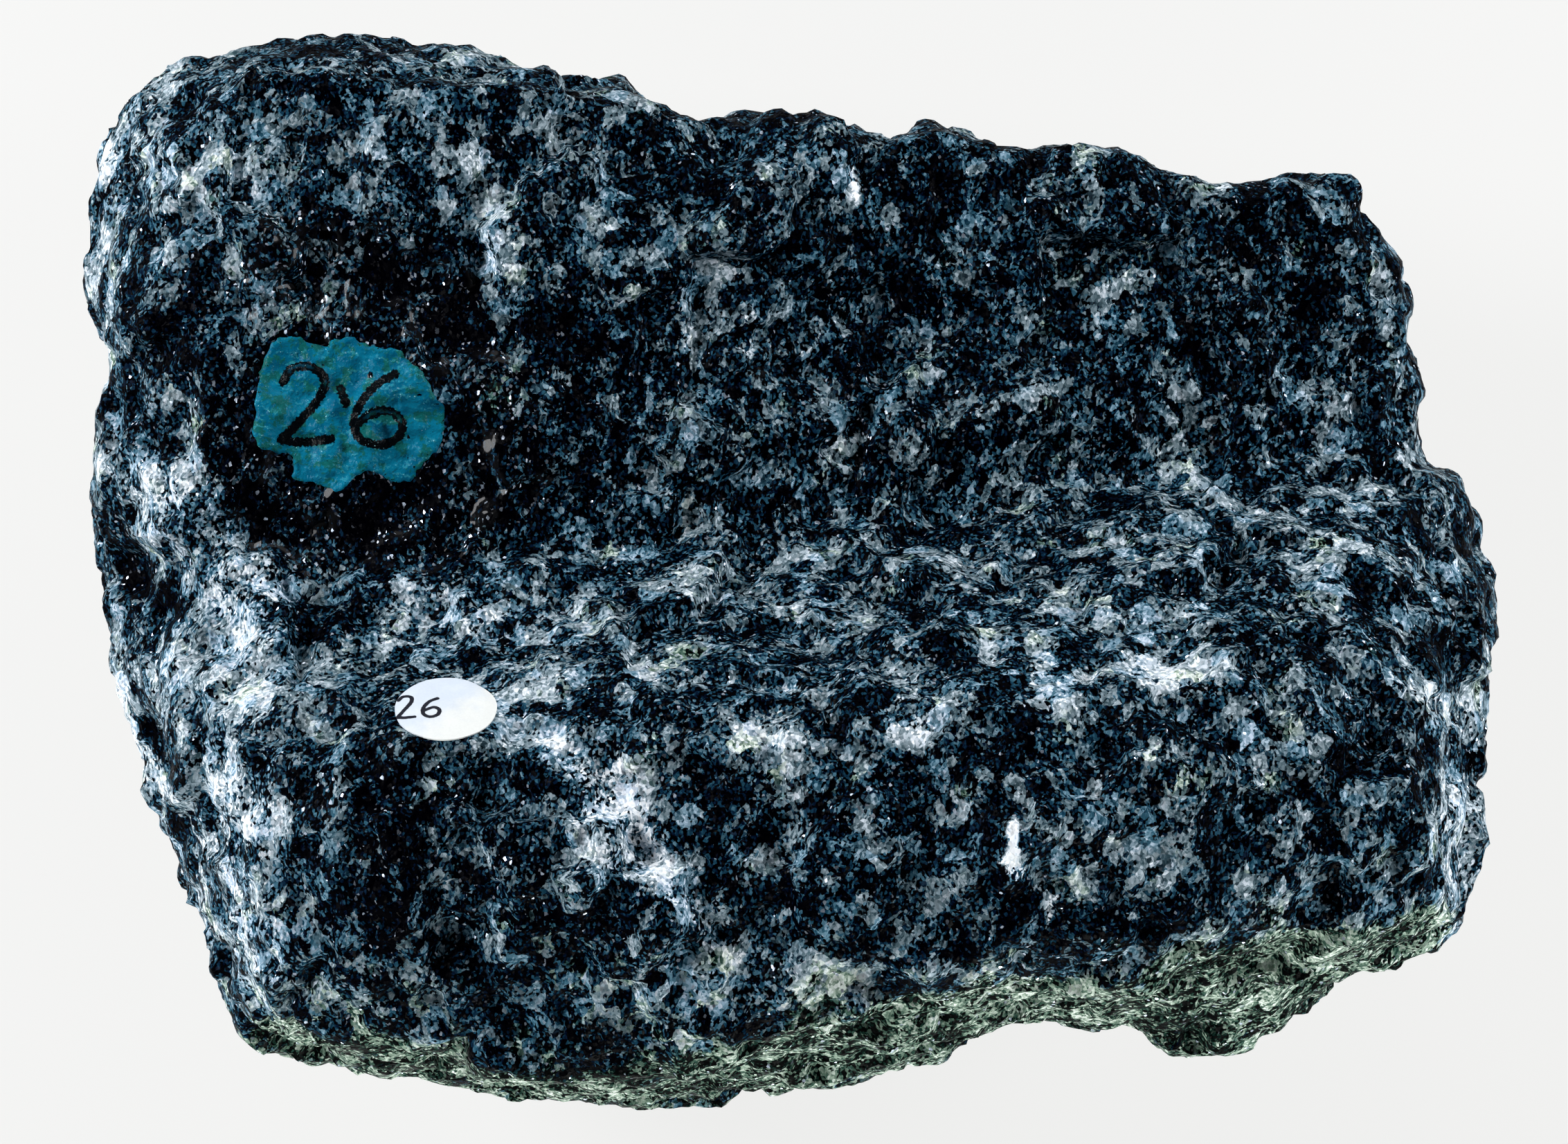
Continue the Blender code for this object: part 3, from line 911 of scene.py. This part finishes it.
def nearest_on(spots, line, closed):
    """The distance from each spot to a line, and the nearest point on it."""
    nearest = np.full(len(spots), np.inf)
    foot = np.zeros_like(spots)
    ends = np.roll(line, -1, axis=0) if closed else line[1:]
    for start, end in zip(line, ends):
        step = end - start
        along = np.clip(((spots - start) @ step) / max(step @ step, 1e-12), 0.0, 1.0)
        candidate = start + along[:, None] * step
        gap = np.linalg.norm(spots - candidate, axis=1)
        closer = gap < nearest
        nearest[closer] = gap[closer]
        foot[closer] = candidate[closer]
    return nearest, foot


def is_inside(spots, line):
    inside = np.zeros(len(spots), bool)
    for start, end in zip(line, np.roll(line, -1, axis=0)):
        spans = (start[1] > spots[:, 1]) != (end[1] > spots[:, 1])
        rise = (end[1] - start[1]) or 1e-12
        inside ^= spans & (spots[:, 0] < start[0] + (spots[:, 1] - start[1]) * (end[0] - start[0]) / rise)
    return inside


def gap_to_strokes(spots, strokes):
    gaps = [nearest_on(spots, rounded(stroke, False), False)[0] for stroke in strokes]
    return np.min(gaps, axis=0)


def level_points(spots):
    """Flat spots as points at height 0, which is what the noise takes."""
    return np.column_stack([spots, np.zeros(len(spots))])


print("points on a rounded square:", len(rounded([(0, 0), (1, 0), (1, 1), (0, 1)], True)))

# %% [markdown]
# ## The painted patch
#
# The collection painted a teal patch on the flattest face and brushed a number on it in black. The
# outline and the number are drawn here as seen from above. The number is an example of its own.

# %% Paint patch: outline and number, in millimetres seen from above
PATCH_OUTLINE = [
    (-40.6, 19.1), (-39.3, 19.2), (-37.7, 18.7), (-36.8, 18.5), (-36.4, 19.0), (-34.6, 18.9),
    (-33.3, 18.5), (-31.7, 18.2), (-30.4, 17.7), (-29.5, 16.8), (-28.8, 16.0), (-28.1, 14.7),
    (-27.3, 13.4), (-27.3, 11.5), (-27.8, 10.1), (-28.5, 9.6), (-29.0, 8.7), (-29.6, 8.0),
    (-30.1, 7.3), (-31.7, 7.5), (-32.5, 8.1), (-33.7, 8.1), (-35.1, 7.1), (-35.6, 6.5),
    (-36.9, 6.9), (-37.7, 7.2), (-39.5, 7.7), (-39.5, 9.3), (-41.6, 9.9), (-42.4, 10.6),
    (-42.5, 12.3), (-42.4, 13.8), (-42.3, 15.2), (-41.9, 17.1), (-41.4, 18.0),
]
PATCH_NUMBER = [
    [(-40.2, 15.4), (-39.6, 16.4), (-38.4, 16.7), (-37.1, 16.1), (-36.9, 14.9), (-37.9, 13.3),
     (-39.3, 11.8), (-40.3, 10.8)],
    [(-40.3, 10.8), (-38.6, 10.6), (-36.3, 10.9)],
    [(-31.2, 16.0), (-32.6, 15.2), (-33.9, 13.7), (-34.5, 12.1), (-34.0, 10.9), (-32.6, 10.4),
     (-31.1, 10.9), (-30.6, 12.0), (-31.4, 13.0), (-32.8, 13.0), (-34.0, 12.2)],
    [(-35.6, 14.9), (-35.1, 13.7)],
]
NUMBER_HALF_WIDTH_MM = 0.36

print("patch corners:", len(PATCH_OUTLINE), "number strokes:", len(PATCH_NUMBER))

# %% [markdown]
# ## A net dropped onto the rock
#
# Paint is a thin film that fills the small hollows and stands up a little at its rim. A decal in the
# rock's own material would look printed on, so the film is a mesh of its own, which starts as a fine
# square net over the outline. A ray goes straight down from each spot to find the rock under it.

# %% Net, drop and evening
NET_MM = 0.15
DROP_FROM_MM = 70.0


def net_over(outline):
    """A square net over an outline: its spots, and the faces that touch the inside."""
    low = outline.min(axis=0) - NET_MM
    count = np.ceil((outline.max(axis=0) + NET_MM - low) / NET_MM).astype(int) + 1
    across, up = np.meshgrid(np.arange(count[0]), np.arange(count[1]))
    spots = low + NET_MM * np.stack([across.ravel(), up.ravel()], axis=1)
    corner = (np.arange(count[1] - 1)[:, None] * count[0] + np.arange(count[0] - 1)).ravel()
    faces = np.stack([corner, corner + 1, corner + 1 + count[0], corner + count[0]], axis=1)
    return spots, faces, (count[1], count[0])


def heights_under(spots, target):
    """How high the target's surface is under each spot, in millimetres."""
    tree = BVHTree.FromObject(target, bpy.context.evaluated_depsgraph_get())
    heights = np.zeros(len(spots))
    for i, (x, y) in enumerate(spots):
        hit = tree.ray_cast(Vector((x, y, DROP_FROM_MM)) * MM, Vector((0, 0, -1)))[0]
        heights[i] = hit.z * TO_MM
    return heights


def evened(heights, shape, rounds):
    grid = heights.reshape(shape)
    for _ in range(rounds):
        padded = np.pad(grid, 1, mode="edge")
        sides = padded[:-2, 1:-1] + padded[2:, 1:-1] + padded[1:-1, :-2] + padded[1:-1, 2:]
        grid = (grid + sides / 4.0) / 2.0
    return grid.ravel()


print("net spacing in mm:", NET_MM)

# %% [markdown]
# ## The film of paint
#
# The rock's heights are evened, as wet paint does, and raised by the film's thickness. On top come the
# rim, the marks of the brush, and the number, which is a second coat. The outside of the net is pulled
# in to the outline, so that the film has a clean edge, and a solid body is hung under it.

# %% Film of paint
FILM_MM = 0.16
FILM_EDGE_MM = 0.25
RIM_MM = 0.07
RIM_PLACE_MM = 0.4
RIM_HALF_WIDTH_MM = 0.22
BRUSH_MM = 0.14
NUMBER_MM = 0.05
FILM_BODY_MM = 0.5
EVENING_ROUNDS = 14
SUNK_EDGE_MM = 0.1
RAGGED_MM = 0.22
RAGGED_SIZE_MM = 0.45


def film_height(spots, ground, shape, depth, gap):
    """The paint's upper side: an evened rock surface, plus the film, its rim, the brush and the number."""
    # Paint fills the hollows, and hardly anything of the rock stands out of it
    evened_ground = np.maximum(evened(ground, shape, EVENING_ROUNDS), ground - 0.02)
    flat = level_points(spots)
    # The brush went slantwise, so its marks are drawn out that way
    brushed = flat * (0.35, 1.0, 1.0) + flat[:, [1, 0, 2]] * (0.25, -0.2, 0.0)
    film = FILM_MM * soft_step(depth, 0.0, FILM_EDGE_MM)
    rim = np.exp(-((depth - RIM_PLACE_MM) / RIM_HALF_WIDTH_MM) ** 2)
    film += RIM_MM * rim * (0.5 + 0.5 * soft_lumps(flat, 1.1, 51))
    relief = soft_lumps(brushed, 0.55, 52) + 0.6 * soft_lumps(flat, 0.42, 53)
    film += BRUSH_MM * relief * soft_step(depth, 0.1, 0.6)
    film += NUMBER_MM * (1.0 - soft_step(gap, 0.15, 0.45))
    mix = soft_step(depth, 0.0, 0.5)
    sunk = SUNK_EDGE_MM * (1.0 - soft_step(depth, -0.1, 0.2))
    return ground * (1.0 - mix) + evened_ground * mix + film - sunk


def make_patch(target):
    outline = rounded(PATCH_OUTLINE, True)
    ragged = soft_offsets(level_points(outline), RAGGED_SIZE_MM, 54)[:, :2]
    outline = outline + RAGGED_MM * ragged
    spots, faces, shape = net_over(outline)
    gap, foot = nearest_on(spots, outline, True)
    depth = np.where(is_inside(spots, outline), gap, -gap)
    faces = faces[(depth[faces] > 0.0).any(axis=1)]
    outside = depth < 0.0
    spots[outside] = foot[outside]
    depth[outside] = 0.0
    ground = heights_under(spots, target)
    number_gap = gap_to_strokes(spots, PATCH_NUMBER)
    height = film_height(spots, ground, shape, depth, number_gap)
    used = np.unique(faces)
    place = np.zeros(len(spots), int)
    place[used] = np.arange(len(used))
    points = np.column_stack([spots, height])[used] * MM
    mesh = bpy.data.meshes.new("paint_patch")
    mesh.from_pydata(points.tolist(), [], place[faces].tolist())
    note_weight(mesh, "stroke_gap", number_gap[used])
    note_weight(mesh, "depth", depth[used])
    return thickened(new_piece("paint_patch", mesh), FILM_BODY_MM)


patch = make_patch(stone)
print("patch faces:", len(patch.data.polygons))

# %% [markdown]
# ## Paint
#
# Brushed enamel isn't one colour: it is darker where it lies thick, greenish where the rock shows
# through, and streaked along the brush. Full gloss would veil the dark colours, so it is kept low and
# the small wet-looking shines are painted in. The black strokes take their width from the distance
# that was noted on the mesh, with a noise for the brush's edge.

# %% Paint material
TEAL_THICK = (3, 84, 112)
TEAL = (8, 104, 132)
TEAL_PALE = (50, 146, 164)
GREENISH = (16, 84, 76)
BLACK_PAINT = (3, 6, 9)
PAINT_SHINE = (150, 205, 215)


def paint():
    material = bpy.data.materials.new("teal_paint")
    tree = Tree(material)
    here = tree.place_in_mm()
    clouds = tree.noise(here, 2.6)
    mottle = tree.noise(here, 1.2)
    streaks = tree.noise(tree.vectors("MULTIPLY", here, (0.35, 1.0, 1.0)), 0.5)
    fine = tree.noise(here, 0.25)
    colour = tree.blend(clouds.rises(0.4, 0.62), light_of(TEAL), light_of(TEAL_THICK))
    colour = tree.blend((mottle + (fine - 0.5) * 0.4).rises(0.5, 0.6) * 0.85, colour, light_of(GREENISH))
    colour = tree.blend((streaks * 0.5 + fine * 0.5).rises(0.54, 0.64) * 0.5, colour, light_of(TEAL_PALE))
    gap = tree.painted("stroke_gap") + (fine - 0.5) * 0.5
    stroke = gap.rises(NUMBER_HALF_WIDTH_MM + 0.04, NUMBER_HALF_WIDTH_MM - 0.04)
    worn = gap.rises(0.2, 0.05) * clouds.rises(0.6, 0.7) * 0.4
    pinholes = (fine + (1.0 - tree.painted("depth").rises(0.0, 1.0)) * 0.08).rises(0.72, 0.76)
    shine = (tree.noise(here, 0.14, 1.0) + (streaks - 0.5) * 0.5).rises(0.77, 0.82)
    dark = (stroke - worn).larger_of(pinholes)
    colour = tree.blend(dark, colour, light_of(BLACK_PAINT))
    colour = tree.blend(shine * 0.85, colour, light_of(PAINT_SHINE))
    tree.surface({
        "Base Color": colour,
        "Roughness": 0.1 + 0.2 * fine,
        "Specular IOR Level": 0.04,
        "Normal": tree.bumped(0.9, 0.12, streaks * 0.5 + fine),
    })
    return material


finish_piece(patch, paint(), sharp_degrees=70.0)
print("paint nodes:", len(patch.data.materials[0].node_tree.nodes))

# %% [markdown]
# ## The paper label
#
# A round paper dot is glued to the crest, with a number in pen near its left edge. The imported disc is
# a plain stand-in. The real dot is thin, not quite round on its upper right, and it rides over the
# rock with a slight wave, so it is made as rings of points around the disc's own middle.

# %% Label shape
LABEL_RADIUS_MM = 4.0
LABEL_RINGS = 44
LABEL_SIDES = 180
LABEL_PAPER_MM = 0.12
LABEL_WAVE_MM = 0.07
LABEL_WAVE_SIZE_MM = 2.2
LABEL_CURL_MM = 0.06
PEN_HALF_WIDTH_MM = 0.17
# The pen's strokes in the label's own plane: to the right and up, from its middle
LABEL_NUMBER = [
    [(-3.75, 1.0), (-3.4, 1.5), (-2.8, 1.35), (-2.75, 0.7), (-3.3, -0.4), (-3.75, -1.2)],
    [(-3.75, -1.2), (-3.1, -1.25), (-2.4, -1.15)],
    [(-0.7, 1.2), (-1.3, 0.8), (-1.75, 0.0), (-1.7, -0.8), (-1.2, -1.15), (-0.6, -0.9), (-0.5, -0.3),
     (-0.95, 0.05), (-1.6, -0.3)],
]


def label_spots():
    """Rings of spots, ring by ring from the middle outwards, in the label's plane."""
    turn = np.arange(LABEL_SIDES) * 2.0 * math.pi / LABEL_SIDES
    # Worn off on the upper right, and cut a little unevenly
    worn = 1.0 - 0.035 * np.exp(-((turn - 0.9) / 0.35) ** 2) + 0.004 * np.sin(turn * 7.0)
    share = (np.arange(LABEL_RINGS) + 1.0) / LABEL_RINGS
    across = share[:, None] * (LABEL_RADIUS_MM * worn * np.cos(turn))
    up = share[:, None] * (LABEL_RADIUS_MM * worn * np.sin(turn))
    return np.stack([across.ravel(), up.ravel()], axis=1)


def make_label():
    spots = np.concatenate([[(0.0, 0.0)], label_spots()])
    radius = np.linalg.norm(spots, axis=1)
    lift = LABEL_WAVE_MM * soft_lumps(level_points(spots), LABEL_WAVE_SIZE_MM, 61)
    lift *= soft_step(radius, 4.2, 2.0)
    lift -= LABEL_CURL_MM * soft_step(radius, 3.0, LABEL_RADIUS_MM)
    rings = np.arange(LABEL_RINGS - 1)[:, None] * LABEL_SIDES + 1
    side = np.arange(LABEL_SIDES)
    after = (side + 1) % LABEL_SIDES
    quads = np.stack([(rings + side), (rings + side + LABEL_SIDES), (rings + after + LABEL_SIDES),
                      (rings + after)], axis=-1).reshape(-1, 4)
    fan = [(0, int(a) + 1, int(b) + 1) for a, b in zip(side, after)]
    points = label_centre + spots[:, :1] * label_across + spots[:, 1:] * label_up
    points = points + lift[:, None] * label_normal
    mesh = bpy.data.meshes.new("paper_label")
    mesh.from_pydata((points * MM).tolist(), [], fan + quads.tolist())
    note_weight(mesh, "ink_gap", gap_to_strokes(spots, LABEL_NUMBER))
    note_weight(mesh, "slant", (spots[:, 0] - spots[:, 1]) / LABEL_RADIUS_MM)
    return thickened(new_piece("paper_label", mesh), LABEL_PAPER_MM)


label = make_label()
print("label faces:", len(label.data.polygons))

# %% [markdown]
# ## Paper and pen
#
# Paper is matt and nearly white. Painted light makes it a little bluish on the upper left, where the
# sky light reaches it, and warm on the lower right. A fine fibre noise breaks up its surface, and the
# pen's line bleeds into it.

# %% Label material
PAPER_COOL = (200, 209, 221)
PAPER_WARM = (216, 218, 216)
PEN_INK = (14, 16, 28)


def paper():
    material = bpy.data.materials.new("label_paper")
    tree = Tree(material)
    here = tree.place_in_mm()
    fibres = tree.noise(here, 0.18)
    mottle = tree.noise(here, 1.4)
    # Painted light: bluish on the upper left, warmer on the lower right, with a random mottle
    warm_painted_light = (tree.painted("slant") * 0.5 + mottle).rises(0.2, 0.9)
    colour = tree.blend(warm_painted_light, light_of(PAPER_COOL), light_of(PAPER_WARM))
    brightness = 0.95 + 0.12 * (fibres - 0.5) + 0.1 * (mottle - 0.5)
    colour = tree.add("ShaderNodeVectorMath", {"operation": "SCALE"}, {0: colour, "Scale": brightness})
    ink = tree.painted("ink_gap") + (fibres - 0.5) * 0.08
    ink = ink.rises(PEN_HALF_WIDTH_MM + 0.03, PEN_HALF_WIDTH_MM - 0.03)
    colour = tree.blend(ink, colour.outputs[0], light_of(PEN_INK))
    tree.surface({
        "Base Color": colour,
        "Roughness": 0.75 + 0.2 * (fibres - 0.5),
        "Specular IOR Level": 0.25,
        "Normal": tree.bumped(0.25, 0.03, fibres),
    })
    return material


finish_piece(label, paper(), sharp_degrees=50.0)
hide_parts("number_label")
print("paper nodes:", len(label.data.materials[0].node_tree.nodes))
